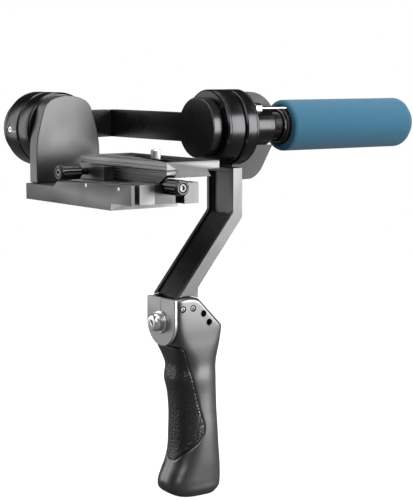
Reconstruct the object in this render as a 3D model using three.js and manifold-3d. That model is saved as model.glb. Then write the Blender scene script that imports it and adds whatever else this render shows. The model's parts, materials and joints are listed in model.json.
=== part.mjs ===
// Hand-held camera stabilizer: pistol grip, angled arm, foam handle, roll motor, tilt motor and camera cage.
// Working axes: the origin is where the roll axis meets the groove of the roll motor,
// +X rearward along the handle, +Y to the far side, +Z up. All sizes are in millimetres.
import * as THREE from 'three';
import Module from 'manifold-3d';
import { mergeVertices } from 'three/addons/utils/BufferGeometryUtils.js';

const wasm = await Module();
wasm.setup();

// ---------- driving dimensions ----------
const GAP = 0.3;                 // clearance between touching pieces
const RUN = 0.06;                // radial clearance of a running fit
const ROUND = 32;                // facets of a large round piece
const SMALL_ROUND = 16;          // facets of a screw or knob
const FEW = { facets: SMALL_ROUND };
const MOTOR_R = 23.7;            // outside of both motors
const ROLL_FRONT = -14;          // front face of the roll bell
const ROLL_REAR = 10.6;          // rear face of the roll housing
const SHAFT_R = 4;
const NECK_R = 12;
const NECK_END = 32.6;
const THREAD_END = 40.4;
const FOAM = { from: 44.5, to: 148, r: 16.5, hole: 12 };
const ARM_HALF = 14;             // half width of the angled arm
const ARM_FRONT = -3.5;
const ARM_REAR = 3.8;
const ARM_TOP = -25;
const RECESS = 3;                // depth of the channel in the arm's front
const FLANGE = 2.6;
const PIVOT = { x: -38.6, z: -127.6 };
const TONGUE_HALF = 8.7;
const HEAD_FRONT = -46.5;
const HEAD_PLATE = 2.5;
const HEAD_HALF = 15.2;
const HOLE_ARC_R = 17.5;         // circle of the angle holes about the pivot
const HOLE_ARC_START = -13;    // degrees from straight up, rearward positive
const HOLE_ARC_ANGLES = [0, 25, 54, 78];
const TILT = { x: -80, z: -2 };  // tilt axis
const PLATE_Y = [57, 66];        // cage side plate
const BELL_Y = [66.5, 80];
const HOUSING_Y = [80.5, 97];
const SIDE_BAR_Y = [97.3, 106];
const REAR_BAR_X = [-22, ROLL_FRONT - GAP];
const BASE = { front: -105.8, rear: -59, bottom: -44.5, thin: -34.7, top: -31.5, near: -33, step: 28 };
// The base's front lip slopes down to the far side.
const LIP = { near: -54.6, nearTop: -28.7, farTop: -31.4 };
const SLIDER = { front: -100.5, bed: -96.5, rear: -50, near: -55, low: -29.8, top: -25.5, side: -28.6 };
const CAMERA_PLATE = { front: -85.5, rear: -48, near: -60, far: 33, top: -16, thick: 5 };
const SEAT = { x: -72.7, y: -13.5, z: CAMERA_PLATE.top };   // camera seat, the model's origin
const CAMERA_SCREW_X = -63;
const KNOB = { r: 4.65, length: 15 };
const FRONT_KNOB = { x: -112, y: 16, z: -25 };
const SIDE_KNOB = { x: -81, y: -70, z: -30.3 };

// ---------- shape helpers ----------
function solid(geometry) {
  const bare = geometry.clone();
  bare.deleteAttribute('normal');
  bare.deleteAttribute('uv');
  const merged = mergeVertices(bare, 1e-4);
  return new wasm.Manifold(new wasm.Mesh({
    numProp: 3,
    vertProperties: new Float32Array(merged.attributes.position.array),
    triVerts: new Uint32Array(merged.index.array),
  }));
}

function geometryOf(shape) {
  const mesh = shape.getMesh();
  const geometry = new THREE.BufferGeometry();
  geometry.setAttribute('position', new THREE.BufferAttribute(mesh.vertProperties, 3));
  geometry.setIndex(new THREE.BufferAttribute(mesh.triVerts, 1));
  geometry.computeVertexNormals();
  return geometry;
}

const join = (...shapes) => shapes.reduce((all, next) => all.add(next));
const cut = (shape, ...tools) => tools.reduce((rest, tool) => rest.subtract(tool), shape);

function block([x0, x1], [y0, y1], [z0, z1]) {
  const geometry = new THREE.BoxGeometry(x1 - x0, y1 - y0, z1 - z0);
  geometry.translate((x0 + x1) / 2, (y0 + y1) / 2, (z0 + z1) / 2);
  return solid(geometry);
}

// A lathe about the X, Y or Z axis: the profile holds [radius, distance along the axis].
function turned(axis, profile, centre, facets = ROUND) {
  const points = profile.map(([r, h]) => new THREE.Vector2(r, h));
  const geometry = new THREE.LatheGeometry(points, facets);
  if (axis === 'x') geometry.rotateZ(-Math.PI / 2);
  if (axis === 'z') geometry.rotateX(Math.PI / 2);
  geometry.translate(...centre);
  const shape = solid(geometry);
  return shape.volume() < 0 ? solid(flipped(geometry)) : shape;
}

function flipped(geometry) {
  const index = geometry.index.array;
  for (let i = 0; i < index.length; i += 3) [index[i], index[i + 1]] = [index[i + 1], index[i]];
  return geometry;
}

// A round bar from a to b along an axis, with an optional chamfer at both ends.
function bar(axis, r, [a, b], centre, { facets = ROUND, chamfer = 0 } = {}) {
  const profile = chamfer
    ? [[0, a], [r - chamfer, a], [r, a + chamfer], [r, b - chamfer], [r - chamfer, b], [0, b]]
    : [[0, a], [r, a], [r, b], [0, b]];
  return turned(axis, profile, centre, facets);
}

function tube(axis, r, bore, [a, b], centre, options) {
  return cut(bar(axis, r, [a, b], centre, options), bar(axis, bore, [a - 1, b + 1], centre, options));
}

// A closed outline whose corners [u, v, radius] are rounded where a radius is given.
function outline(corners) {
  const shape = new THREE.Shape();
  const count = corners.length;
  const towards = (from, to, distance) => {
    const length = Math.hypot(to[0] - from[0], to[1] - from[1]);
    return [from[0] + (to[0] - from[0]) * distance / length, from[1] + (to[1] - from[1]) * distance / length];
  };
  corners.forEach((corner, i) => {
    const before = corners[(i + count - 1) % count];
    const after = corners[(i + 1) % count];
    const radius = corner[2] || 0;
    const start = radius ? towards(corner, before, radius) : corner;
    if (i === 0) shape.moveTo(start[0], start[1]);
    else shape.lineTo(start[0], start[1]);
    if (radius) {
      const end = towards(corner, after, radius);
      shape.quadraticCurveTo(corner[0], corner[1], end[0], end[1]);
    }
  });
  shape.closePath();
  return shape;
}

const CORNER_STEPS = 4;
function prism(axis, shape, [from, to]) {
  const flat = Array.isArray(shape) ? outline(shape) : shape;
  const options = { depth: to - from, bevelEnabled: false, curveSegments: CORNER_STEPS };
  const geometry = new THREE.ExtrudeGeometry(flat, options);
  if (axis === 'y') {
    geometry.rotateX(Math.PI / 2);
    geometry.translate(0, to, 0);
  }
  if (axis === 'x') {
    const turn = new THREE.Matrix4().makeBasis(
      new THREE.Vector3(0, 1, 0), new THREE.Vector3(0, 0, 1), new THREE.Vector3(1, 0, 0));
    geometry.applyMatrix4(turn);
    geometry.translate(from, 0, 0);
  }
  if (axis === 'z') geometry.translate(0, 0, from);
  return solid(geometry);
}

// A closed skin through level outlines, each { z, x, y, power }: x and y hold the limits of a super-ellipse.
const LOFT_SIDES = 28;
function loft(levels) {
  const positions = [];
  for (const { z, x, y, power } of levels) {
    for (let i = 0; i < LOFT_SIDES; i += 1) {
      const angle = (i / LOFT_SIDES) * 2 * Math.PI;
      const c = Math.cos(angle);
      const s = Math.sin(angle);
      const u = Math.sign(c) * Math.abs(c) ** (2 / power);
      const v = Math.sign(s) * Math.abs(s) ** (2 / power);
      positions.push((x[0] + x[1]) / 2 + u * (x[1] - x[0]) / 2, (y[0] + y[1]) / 2 + v * (y[1] - y[0]) / 2, z);
    }
  }
  const index = [];
  const rings = levels.length;
  for (let k = 0; k < rings - 1; k += 1) {
    for (let i = 0; i < LOFT_SIDES; i += 1) {
      const a = k * LOFT_SIDES + i;
      const b = k * LOFT_SIDES + (i + 1) % LOFT_SIDES;
      index.push(a, b, b + LOFT_SIDES, a, b + LOFT_SIDES, a + LOFT_SIDES);
    }
  }
  for (const ring of [0, rings - 1]) {
    const first = ring * LOFT_SIDES;
    for (let i = 1; i < LOFT_SIDES - 1; i += 1) {
      index.push(first, ...(ring === 0 ? [first + i + 1, first + i] : [first + i, first + i + 1]));
    }
  }
  const geometry = new THREE.BufferGeometry();
  geometry.setAttribute('position', new THREE.Float32BufferAttribute(positions, 3));
  geometry.setIndex(index);
  return solid(geometry);
}

// ---------- materials ----------
const material = (color, roughness, metalness) =>
  new THREE.MeshStandardMaterial({ color, roughness, metalness });
const looks = {
  black_anodised: material(0x1c1c1e, 0.42, 0.7),
  grey_anodised: material(0x4a4a4d, 0.45, 0.8),
  gloss_inlay: material(0x0a0a0b, 0.15, 0.0),
  grip_plastic: material(0x232325, 0.5, 0.0),
  grip_rubber: material(0x111112, 0.8, 0.0),
  foam: material(0x3f8fc4, 0.95, 0.0),
  steel: material(0xb9bbbd, 0.3, 1.0),
  copper: material(0xa65c33, 0.4, 0.9),
  magnet: material(0x77797c, 0.35, 0.9),
  circuit: material(0x14532d, 0.5, 0.1),
  cell: material(0x34506e, 0.4, 0.1),
  pad_rubber: material(0x151515, 0.9, 0.0),
};

const model = new THREE.Group();
model.position.set(-SEAT.x, -SEAT.y, -SEAT.z);
function add(name, look, shape) {
  const mesh = new THREE.Mesh(geometryOf(shape), looks[look]);
  mesh.name = name;
  model.add(mesh);
}

// A point on a circle about the arm's pivot, at an angle from straight up, rearward positive.
function aboutPivot(radius, degrees) {
  const angle = THREE.MathUtils.degToRad(degrees);
  return [PIVOT.x + radius * Math.sin(angle), PIVOT.z + radius * Math.cos(angle)];
}

// ---------- pistol grip ----------
// Level outlines of the grip, from the head down to the butt: [z, front x, rear x, half width, power].
const GRIP_LEVELS = [
  [-103, HEAD_FRONT, -11.5, HEAD_HALF, 14],
  [-124, HEAD_FRONT, -11.5, HEAD_HALF, 10],
  [-131, -45.4, -11.7, 15, 7],
  [-136, -44.6, -11.8, 14.9, 5],
  [-141, -43, -11.8, 14.7, 3.6],
  [-147, -41.4, -11.7, 14.4, 2.8],
  [-157, -42.4, -11.3, 14.6, 2.6],
  [-165, -40.6, -10.9, 14.3, 2.5],
  [-177, -39.4, -10.4, 14.5, 2.4],
  [-190, -39.4, -9.6, 15, 2.4],
  [-202, -40.2, -8.8, 15.2, 2.4],
  [-210, -42.4, -8.1, 15.2, 2.5],
  [-217, -45.8, -7.7, 15.1, 2.6],
  [-223, -47.6, -8, 15, 2.8],
  [-228, -46, -9.4, 14.6, 2.9],
  [-231.2, -41, -13, 12.6, 3],
];
// Side view of the grip: the top is an arc about the pivot, then a chamfer falls to the rear.
const HEAD_ARC_R = 24.3;
const HEAD_SIDE = [...[-32, -20, -10, 0, 10, 21].map((angle) => aboutPivot(HEAD_ARC_R, angle)),
  [-11.5, -123.4, 2], [-9.5, -136], [-4, -236], [-52, -236]];
const RUBBER_SIDE = [
  [-60, -133.5], [-41.5, -135.2, 3], [-37.4, -144, 5], [-29.5, -174.4, 9], [-25, -190, 5], [-30, -196.5, 2.5],
  [-38.4, -203, 4], [-41.5, -208.5], [-60, -213],
];
const RUBBER_DEPTH = 1.8;
const WALL = 2.8;

function gripForm(inset = 0) {
  return loft(GRIP_LEVELS.map(([z, front, rear, half, power], i) => ({
    z: z + (i === GRIP_LEVELS.length - 1 ? inset : 0),
    x: [front + inset, rear - inset],
    y: [-half + inset, half - inset],
    power,
  })).reverse());
}

const gripCore = gripForm(WALL + RUBBER_DEPTH);
const rubberZone = prism('y', RUBBER_SIDE, [-30, 30]);
const rubberInner = gripForm(RUBBER_DEPTH);
const grownRubberZone = prism('y', RUBBER_SIDE.map(([x, z, r]) => {
  const away = Math.hypot(x + 42, z + 176);
  return [x + GAP * (x + 42) / away, z + GAP * (z + 176) / away, r];
}), [-30, 30]);
const rubberPocket = grownRubberZone.subtract(gripForm(RUBBER_DEPTH + GAP));

// Slot for the arm's tongue: open at the top and along the rear chamfer.
const SLOT_R = 15;
const tongueSlot = join(
  bar('y', SLOT_R, [-TONGUE_HALF - GAP, TONGUE_HALF + GAP], [PIVOT.x + 2.6, 0, PIVOT.z]),
  block([HEAD_FRONT - 1, -8], [-TONGUE_HALF - GAP, TONGUE_HALF + GAP], [-127, -100]),
);
const BOSS_R = 7;
const pivotBoss = bar('y', BOSS_R, [-HEAD_HALF + 1, HEAD_HALF - 1], [PIVOT.x, 0, PIVOT.z]);
const PIN_R = 3;
const PIN_HALF = 12.4;
const pinBore = bar('y', PIN_R + RUN, [-PIN_HALF - GAP, PIN_HALF + GAP], [PIVOT.x, 0, PIVOT.z]);
const headBlock = prism('y', [[HEAD_FRONT + 0.01, -105], [-12, -105], [-12, -141], [HEAD_FRONT + 2, -141]],
  [-HEAD_HALF + 1, HEAD_HALF - 1]);
const hollow = gripCore.subtract(headBlock);
const BOLT = { z: -119.5, r: 5.75, thick: 5.6, washer: 7.2, washerThick: 1.5, shank: 3 };
const plateBolt = bar('x', BOLT.shank + 0.2, [HEAD_FRONT - 1, HEAD_FRONT + 3], [0, 0, BOLT.z], FEW);

let grip = gripForm().intersect(prism('y', HEAD_SIDE, [-30, 30]));
grip = cut(grip, hollow, rubberPocket, tongueSlot, pinBore, plateBolt);
grip = join(grip, pivotBoss.intersect(gripForm())).subtract(tongueSlot).subtract(pinBore);

const ANGLE_HOLE_R = 2.1;
const angleHoles = HOLE_ARC_ANGLES.map((spread) => aboutPivot(HOLE_ARC_R, HOLE_ARC_START + spread));
const nearFace = -HEAD_HALF;
for (const [x, z] of angleHoles) {
  for (const side of [-1, 1]) {
    const from = side < 0 ? nearFace - 1 : HEAD_HALF - 4;
    grip = grip.subtract(bar('y', ANGLE_HOLE_R, [from, from + 5], [x, 0, z], FEW));
  }
}
const SHELL_SCREWS = [[-22, -150], [-20, -212]];
for (const [x, z] of SHELL_SCREWS) {
  grip = grip.subtract(bar('y', 2.6, [10.6, 20], [x, 0, z], FEW));
}
const half = GAP / 2;
add('grip_shell_near', 'grip_plastic', grip.intersect(block([-70, 10], [-30, -half], [-240, -90])));
add('grip_shell_far', 'grip_plastic', grip.intersect(block([-70, 10], [half, 30], [-240, -90])));
add('grip_rubber', 'grip_rubber', gripForm().intersect(rubberZone).subtract(rubberInner));

const SOCKET_R = 1.1;
function capScrew(axis, sign, seat, centre, head = 1.75, length = 3) {
  const [a, b] = sign > 0 ? [seat, seat + length] : [seat - length, seat];
  const body = bar(axis, head, [a, b], centre, { facets: SMALL_ROUND, chamfer: 0.25 });
  const [c, d] = sign > 0 ? [b - 1.3, b + 1] : [a - 1, a + 1.3];
  return body.subtract(bar(axis, SOCKET_R, [c, d], centre, { facets: 6 }));
}
['front', 'rear'].forEach((place, i) => {
  const [x, z] = angleHoles[i];
  add(`angle_screw_${place}`, 'steel', capScrew('y', -1, nearFace + 3.1, [x, 0, z]));
});
SHELL_SCREWS.forEach(([x, z], i) => {
  add(`shell_screw_${i + 1}`, 'steel', capScrew('y', 1, 10.9, [x, 0, z], 2.2, 2.2));
});
add('pivot_pin', 'steel', bar('y', PIN_R, [-PIN_HALF, PIN_HALF], [PIVOT.x, 0, PIVOT.z], { chamfer: 0.4 }));

// Shield-shaped plate that closes the front of the head, round below about its bolt.
const SHIELD_TOP = -104.5;
const SHIELD_STEPS = 14;
const shieldArc = Array.from({ length: SHIELD_STEPS + 1 }, (_, i) => {
  const angle = (i / SHIELD_STEPS) * Math.PI;
  return [-HEAD_HALF * Math.cos(angle), BOLT.z - HEAD_HALF * Math.sin(angle)];
});
const SHIELD = [[-HEAD_HALF, SHIELD_TOP, 1], ...shieldArc, [HEAD_HALF, SHIELD_TOP, 1]];
const plateBore = bar('x', BOLT.shank + 0.2, [-60, -40], [0, 0, BOLT.z], FEW);
const plateBack = HEAD_FRONT - GAP;
const plateFront = HEAD_FRONT - HEAD_PLATE;
add('head_front_plate', 'grey_anodised', cut(prism('x', SHIELD, [plateFront, plateBack]), plateBore));
const washerBack = plateFront - 0.1;
const washerFront = washerBack - BOLT.washerThick;
add('head_washer', 'steel',
  tube('x', BOLT.washer, BOLT.shank + 0.3, [washerFront, washerBack], [0, 0, BOLT.z]));
const boltHead = turned('x', [[0, -BOLT.thick], [3.4, -BOLT.thick], [5, -BOLT.thick + 0.8],
  [BOLT.r, -2.6], [BOLT.r, 0], [0, 0]], [washerFront - 0.1, 0, BOLT.z]);
const boltShank = bar('x', BOLT.shank, [washerFront - 0.2, HEAD_FRONT + 2.5], [0, 0, BOLT.z], FEW);
const boltSocket = bar('x', 2.3, [-BOLT.thick - 1, -BOLT.thick + 2], [washerFront - 0.1, 0, BOLT.z],
  { facets: 6 });
add('head_bolt', 'steel', cut(join(boltHead, boltShank), boltSocket));

// ---------- angled arm ----------
const BEND_FRONT = [ARM_FRONT, -52.8];
const BEND_REAR = [ARM_REAR, -56];
const FOOT_FRONT = [-45.3, -103.7];
const FOOT_REAR = [-30.4, -98.2];
const FOOT_ARC_R = HEAD_ARC_R + 0.5;
const armSide = [[ARM_FRONT, ARM_TOP], [...BEND_FRONT, 1.5], FOOT_FRONT,
  ...[-10, -4, 3, 10, 19.3].map((angle) => aboutPivot(FOOT_ARC_R, angle)), FOOT_REAR, [...BEND_REAR, 1.5],
  [ARM_REAR, ARM_TOP]];
const recessSide = [[ARM_FRONT - 2, ARM_TOP - 3], [ARM_FRONT + RECESS, ARM_TOP - 3],
  [ARM_FRONT + RECESS, -53.9], [-43.7, -106.5], [-52, -106.5], [ARM_FRONT - 2, -50]];
const tongueNeck = prism('y', [[-41.6, -103.8], [-38.6, -100.8], [-33, -100], [-31, -116], [-32.8, PIVOT.z],
  [-41.6, PIVOT.z]], [-TONGUE_HALF, TONGUE_HALF]);
const TONGUE_R = 5.9;
const tongueDisc = bar('y', TONGUE_R, [-TONGUE_HALF, TONGUE_HALF], [PIVOT.x, 0, PIVOT.z]);
const armBore = bar('y', PIN_R + RUN, [-20, 20], [PIVOT.x, 0, PIVOT.z]);
const tongueFrontTrim = block([-60, HEAD_FRONT + 3.2], [-20, 20], [-150, -104.2]);
const tongue = cut(join(tongueNeck, tongueDisc), armBore, tongueFrontTrim);
const armBody = prism('y', armSide, [-ARM_HALF, ARM_HALF]);
const recess = prism('y', recessSide, [-ARM_HALF + FLANGE, ARM_HALF - FLANGE]);
add('z_arm', 'grey_anodised', join(armBody.subtract(recess), tongue));

// Glossy inlay on the sloping floor of the arm's channel.
const slope = new THREE.Vector2(FOOT_FRONT[0] - BEND_FRONT[0], FOOT_FRONT[1] - BEND_FRONT[1]).normalize();
const outward = new THREE.Vector2(slope.y, -slope.x);
const inlayStart = new THREE.Vector2(ARM_FRONT + RECESS, -53.9).addScaledVector(slope, 1.5);
const INLAY_LENGTH = 68;
const INLAY_THICK = 1.6;
const inlayCorner = (along, off) => {
  const point = inlayStart.clone().addScaledVector(slope, along).addScaledVector(outward, off);
  return [point.x, point.y];
};
const inlaySlab = prism('y', [
  inlayCorner(0, GAP), inlayCorner(0, INLAY_THICK), inlayCorner(INLAY_LENGTH, INLAY_THICK),
  inlayCorner(INLAY_LENGTH, GAP),
], [-ARM_HALF + FLANGE + GAP, ARM_HALF - FLANGE - GAP]);
add('arm_inlay', 'gloss_inlay', inlaySlab.subtract(bar('y', FOOT_ARC_R, [-20, 20], [PIVOT.x, 0, PIVOT.z])));

// ---------- rear bracket, neck and roll motor housing ----------
const bracketBoss = bar('y', 22, [-3, 14], [17.5, 0, 0]);
const bracketLeg = prism('y', [[ARM_REAR + GAP, -18], [38, -8], [36.5, -12], [26.5, -29, 4], [20, -33.4, 3.4],
  [ARM_REAR + GAP, -33.4]], [-3, 14]);
const housingClear = bar('x', MOTOR_R + GAP, [-20, ROLL_REAR + GAP], [0, 0, 0]);
const neckClear = bar('x', NECK_R + GAP, [0, 60], [0, 0, 0]);
const ROD = { y: -11.5, z: 11.7, r: 0.9 };
const rodClear = bar('x', ROD.r + GAP, [10, 45], [0, ROD.y, ROD.z], FEW);
const LUG = { x: [11.2, 13.8], r: 3.3 };
const lug = join(bar('x', LUG.r, LUG.x, [0, ROD.y, ROD.z]),
  block(LUG.x, [ROD.y, -2.9], [ROD.z - LUG.r, ROD.z + LUG.r]));
const BUTTON = { x: 19, z: -20, r: 3, inner: 12.9, outer: 15.8 };
const buttonWell = bar('y', BUTTON.r + GAP, [11.5, 20], [BUTTON.x, 0, BUTTON.z], FEW);
add('rear_bracket', 'black_anodised', cut(join(bracketBoss, bracketLeg, lug), housingClear, neckClear, rodClear,
  buttonWell));
add('bracket_nut', 'steel', bar('x', 3.6, [14.1, 19], [0, ROD.y, ROD.z], { facets: 6 }));
add('clamp_rod', 'steel', bar('x', ROD.r, [19.2, 40.4], [0, ROD.y, ROD.z], { facets: 12 }));
add('bracket_screw', 'steel', capScrew('z', -1, -33.6, [13, 5.5, 0], 2.1, 1.6));

const centre = [0, 0, 0];
const housing = turned('x', [[0, 0.5], [MOTOR_R - 0.6, 0.5], [MOTOR_R, 1.1], [MOTOR_R, ROLL_REAR - 1],
  [MOTOR_R - 1, ROLL_REAR], [0, ROLL_REAR]], centre);
const BEARING_R = 7;
const BEARING = { front: [1, 4], rear: [6.2, 9.6] };
add('roll_housing', 'black_anodised', cut(housing,
  bar('x', BEARING_R + 0.05, [0, 4.1], centre), bar('x', SHAFT_R + 1, [0, 7], centre),
  bar('x', BEARING_R + 0.05, [6.1, 11], centre)));
for (const place of ['front', 'rear']) {
  add(`roll_bearing_${place}`, 'steel', tube('x', BEARING_R, SHAFT_R + RUN, BEARING[place], centre));
}
const BELL_INNER = 21.3;
const MAGNET_INNER = 19.4;
const STATOR_R = 18.6;
function bellProfile(front, rear) {
  return [[0, front], [MOTOR_R - 1, front], [MOTOR_R, front + 1], [MOTOR_R, rear - 0.5], [MOTOR_R - 0.5, rear],
    [BELL_INNER, rear], [BELL_INNER, front + 3], [0, front + 3]];
}
// The stator: a ring of teeth on a hub that the housing carries.
const TEETH = 12;
function stator(axis, [a, b], middle) {
  let ring = tube(axis, STATOR_R, 6, [a, b], middle);
  const spin = { x: (u, v) => [0, u, v], y: (u, v) => [u, 0, v] }[axis];
  for (let i = 0; i < TEETH; i += 1) {
    const angle = ((i + 0.5) / TEETH) * 2 * Math.PI;
    const [x, y, z] = spin(14.6 * Math.cos(angle), 14.6 * Math.sin(angle));
    const at = [middle[0] + x, middle[1] + y, middle[2] + z];
    ring = ring.subtract(bar(axis, 1.9, [a - 1, b + 1], at, { facets: 8 }));
  }
  return ring;
}
add('roll_stator', 'copper', stator('x', [-9.5, 0.2], centre));
add('roll_bell', 'black_anodised', cut(turned('x', bellProfile(ROLL_FRONT, -0.5), centre),
  bar('x', SHAFT_R + 0.05, [-20, 0], centre)));
add('roll_magnets', 'magnet', tube('x', BELL_INNER - 0.05, MAGNET_INNER, [-10.6, -1.2], centre));
add('roll_shaft', 'steel', bar('x', SHAFT_R, [ROLL_FRONT + 0.2, 9.9], centre, { chamfer: 0.4 }));

const neck = turned('x', [[0, ROLL_REAR + GAP], [NECK_R, ROLL_REAR + GAP], [NECK_R, NECK_END - 0.6],
  [NECK_R - 0.6, NECK_END], [9, NECK_END], [9, THREAD_END], [0, THREAD_END]], centre);
add('neck', 'black_anodised', cut(neck, bar('x', 6.5, [0, 50], centre)));
add('silver_ring', 'steel', tube('x', 10.8, 9.3, [THREAD_END + GAP, THREAD_END + 1.8], centre));

// ---------- handle behind the neck ----------
const TUBE = { r: 11.4, bore: 9.7, from: 48.4, to: 147 };
const COLLAR = { r: 11.8, from: 42.6, to: 48 };
const CAP_END = 150.6;
add('handle_tube', 'black_anodised', join(
  tube('x', TUBE.r, TUBE.bore, [TUBE.from, TUBE.to], centre),
  tube('x', 8.4, 6.6, [THREAD_END + 0.2, TUBE.from + 2.6], centre),
  cut(bar('x', 10.4, [TUBE.from, TUBE.from + 2.6], centre), bar('x', 6.6, [30, 60], centre)),
));
const COLLAR_NOTCHES = 16;
let collar = cut(bar('x', COLLAR.r, [COLLAR.from, COLLAR.to], centre, { chamfer: 0.5 }),
  bar('x', 8.4 + RUN, [30, 60], centre));
for (let i = 0; i < COLLAR_NOTCHES; i += 1) {
  const angle = ((i + 0.5) / COLLAR_NOTCHES) * 2 * Math.PI;
  const at = [0, 12.3 * Math.cos(angle), 12.3 * Math.sin(angle)];
  collar = collar.subtract(bar('x', 0.9, [COLLAR.from - 1, COLLAR.to + 1], at, { facets: 6 }));
}
add('lock_collar', 'black_anodised', collar);
add('foam_grip', 'foam', turned('x', [[FOAM.hole, FOAM.from], [FOAM.r - 2, FOAM.from],
  [FOAM.r - 0.6, FOAM.from + 0.6], [FOAM.r, FOAM.from + 2], [FOAM.r, FOAM.to - 3],
  [FOAM.r - 0.9, FOAM.to - 0.9], [FOAM.r - 3, FOAM.to],
  [FOAM.hole, FOAM.to], [FOAM.hole, FOAM.from]], centre));
add('battery_cell', 'cell', bar('x', 9, [58, 123], centre, { chamfer: 0.8 }));
add('end_cap', 'black_anodised', join(
  bar('x', 13, [FOAM.to + GAP, CAP_END], centre, { chamfer: 0.7 }),
  bar('x', TUBE.bore - RUN, [130, FOAM.to + 1], centre),
));
add('controller_board', 'circuit', block([12, 31], [-5, 5], [-0.8, 0.8]));
add('mode_button', 'pad_rubber', bar('y', BUTTON.r, [BUTTON.inner, BUTTON.outer], [BUTTON.x, 0, BUTTON.z],
  { facets: SMALL_ROUND, chamfer: 0.5 }));

// ---------- roll arm ----------
const BAR_HALF = 9;
const rearBar = prism('x', [[-16, -BAR_HALF, 4], [SIDE_BAR_Y[1], -BAR_HALF, 3], [SIDE_BAR_Y[1], BAR_HALF, 3],
  [-16, BAR_HALF, 4]], REAR_BAR_X);
const rearBoss = bar('x', 19, REAR_BAR_X, centre, { chamfer: 0.6 });
const cornerBore = (z) => bar('x', 1.9, [-30, REAR_BAR_X[1] + 1], [0, (SIDE_BAR_Y[0] + SIDE_BAR_Y[1]) / 2, z],
  FEW);
add('roll_arm_rear', 'black_anodised', cut(join(rearBar, rearBoss), cornerBore(-4.5), cornerBore(4.5)));
const sideBar = prism('y', [[TILT.x, -BAR_HALF + TILT.z / 2], [REAR_BAR_X[0] - GAP, -BAR_HALF],
  [REAR_BAR_X[0] - GAP, BAR_HALF], [TILT.x, BAR_HALF + TILT.z / 2]], SIDE_BAR_Y);
const sideBoss = bar('y', 20, SIDE_BAR_Y, [TILT.x, 0, TILT.z], { chamfer: 0.8 });
const sideDrill = (z) => bar('x', 1.9, [-34, -20], [0, (SIDE_BAR_Y[0] + SIDE_BAR_Y[1]) / 2, z], FEW);
add('roll_arm_side', 'black_anodised', cut(join(sideBar, sideBoss), sideDrill(-4.5), sideDrill(4.5)));
[-4.5, 4.5].forEach((z, i) => {
  const middle = [0, (SIDE_BAR_Y[0] + SIDE_BAR_Y[1]) / 2, z];
  const shank = bar('x', 1.7, [-32, REAR_BAR_X[1] + 0.2], middle, FEW);
  add(`corner_screw_${i + 1}`, 'steel', join(shank, capScrew('x', 1, REAR_BAR_X[1] + 0.1, middle, 2.8, 1.8)));
});

// ---------- tilt motor ----------
const tiltCentre = [TILT.x, 0, TILT.z];
const tiltHousing = turned('y', [[0, HOUSING_Y[0]], [MOTOR_R - 0.6, HOUSING_Y[0]], [MOTOR_R, HOUSING_Y[0] + 0.6],
  [MOTOR_R, HOUSING_Y[1] - 1], [MOTOR_R - 1, HOUSING_Y[1]], [0, HOUSING_Y[1]]], tiltCentre);
const RIM_SCREW_Y = 90.5;
const rimRecess = bar('x', 2.6, [-110, TILT.x - MOTOR_R + 2.2], [0, RIM_SCREW_Y, TILT.z], FEW);
add('tilt_housing', 'black_anodised', cut(tiltHousing, rimRecess,
  bar('y', BEARING_R + 0.05, [80, 84.1], tiltCentre), bar('y', SHAFT_R + 1, [80, 93], tiltCentre),
  bar('y', BEARING_R + 0.05, [92.4, 98], tiltCentre)));
add('tilt_bearing_inner', 'steel', tube('y', BEARING_R, SHAFT_R + RUN, [81, 84], tiltCentre));
add('tilt_bearing_outer', 'steel', tube('y', BEARING_R, SHAFT_R + RUN, [92.5, 96], tiltCentre));
add('tilt_rim_screw', 'steel', capScrew('x', -1, TILT.x - MOTOR_R + 1.9, [0, RIM_SCREW_Y, TILT.z], 2.1, 1.6));
add('tilt_stator', 'copper', stator('y', [71, 80.2], tiltCentre));
const tiltBell = turned('y', bellProfile(BELL_Y[0], BELL_Y[1]), tiltCentre);
add('tilt_bell', 'black_anodised', cut(tiltBell, bar('y', SHAFT_R + 0.05, [60, 90], tiltCentre)));
add('tilt_magnets', 'magnet', tube('y', BELL_INNER - 0.05, MAGNET_INNER, [69.9, 79.2], tiltCentre));
add('tilt_shaft', 'steel', bar('y', SHAFT_R, [BELL_Y[0] + 0.2, 96.3], tiltCentre, { chamfer: 0.4 }));

// ---------- camera cage ----------
const sidePlate = prism('y', [[-103, BASE.thin + GAP], [-103, -8, 8], [-96, 16, 6], [-80, 21, 8], [-64, 16, 6],
  [-57, -8, 8], [-57, BASE.thin + GAP]], PLATE_Y);
add('cage_side_plate', 'grey_anodised', sidePlate);
const baseFar = PLATE_Y[1];
const lipTop = (y) => LIP.nearTop + (LIP.farTop - LIP.nearTop) * (y - LIP.near) / (BASE.step - LIP.near);
const base = join(
  block([BASE.front, BASE.rear], [BASE.step, baseFar], [BASE.bottom, BASE.thin]),
  block([BASE.front, BASE.rear], [BASE.near, BASE.step + 0.1], [BASE.bottom, BASE.top]),
  prism('x', [[BASE.near, BASE.bottom], [BASE.step, BASE.bottom], [BASE.step, LIP.farTop],
    [BASE.near, lipTop(BASE.near)]], [BASE.front, -102.5]),
  prism('x', [[LIP.near, -40.3], [BASE.near + 0.1, -40.3], [BASE.near + 0.1, lipTop(BASE.near)],
    [LIP.near, LIP.nearTop]], [BASE.front, -103.6]),
);
const stepRamp = prism('x', [[BASE.step - 0.05, LIP.farTop], [BASE.step + 4, BASE.thin],
  [BASE.step - 0.05, BASE.thin - 0.1]], [BASE.front, -102.5]);
const boardBay = block([-97, -68], [-22, 16], [BASE.bottom - 1, BASE.bottom + 6]);
add('cage_base', 'black_anodised', cut(join(base, stepRamp), boardBay));
add('sensor_board', 'circuit', block([-95, -70], [-20, 14], [BASE.bottom + 2.5, BASE.bottom + 4.1]));
add('bay_cover', 'black_anodised',
  block([-96.7, -68.3], [-21.7, 15.7], [BASE.bottom + 0.1, BASE.bottom + 1.9]));
const SIDE_PLATE_SCREWS = [-92, -68];
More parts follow.
